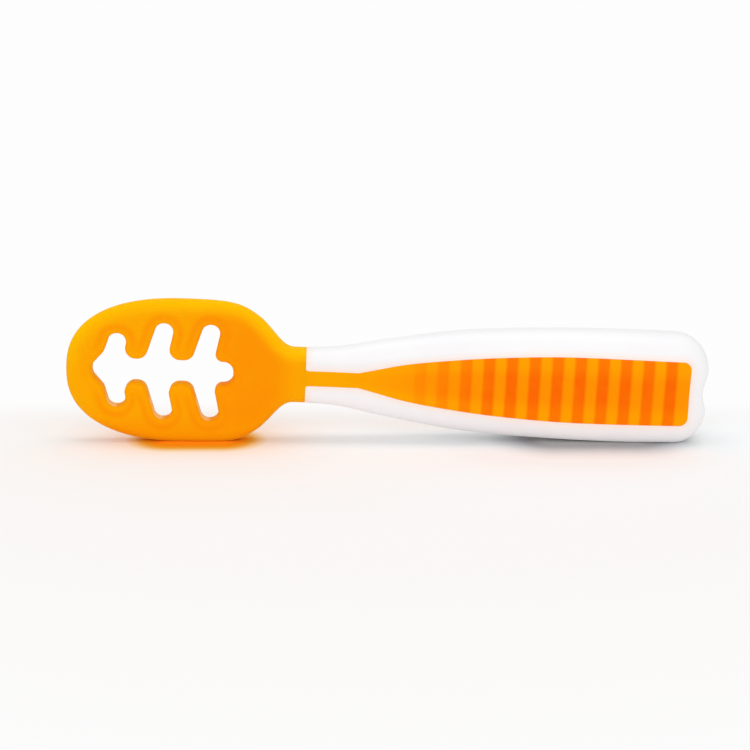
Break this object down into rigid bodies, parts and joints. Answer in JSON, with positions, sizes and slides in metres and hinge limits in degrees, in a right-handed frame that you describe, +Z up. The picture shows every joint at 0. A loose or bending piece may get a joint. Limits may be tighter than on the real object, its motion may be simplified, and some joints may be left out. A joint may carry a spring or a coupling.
{
  "type": "baby spoon",
  "caption": "Baby's first spoon with a flat slotted head that holds soft food, and a thick handle with a ribbed soft grip on each face.",
  "frame": {"origin": "middle of the bounding box's underside, on the surface that the spoon stands on", "axes": "+X along the spoon from its head towards the handle's end, +Y through its thickness away from the picture's viewpoint, +Z up across its width; it stands on its long edge, as in the picture"},
  "size_m": [0.1298, 0.0132, 0.0293],
  "materials": {
    "stiff_white": "matt, stiff moulding",
    "head_orange": "satin, slightly see-through soft moulding",
    "grip_orange": "satin, slightly see-through soft moulding",
    "soft_white": "satin, soft moulding"
  },
  "bodies": {
    "root": {"handle_core": "stiff_white", "head": "head_orange", "front_grip": "grip_orange", "back_grip": "grip_orange", "handle_jacket": "soft_white"}
  },
  "joints": []
}
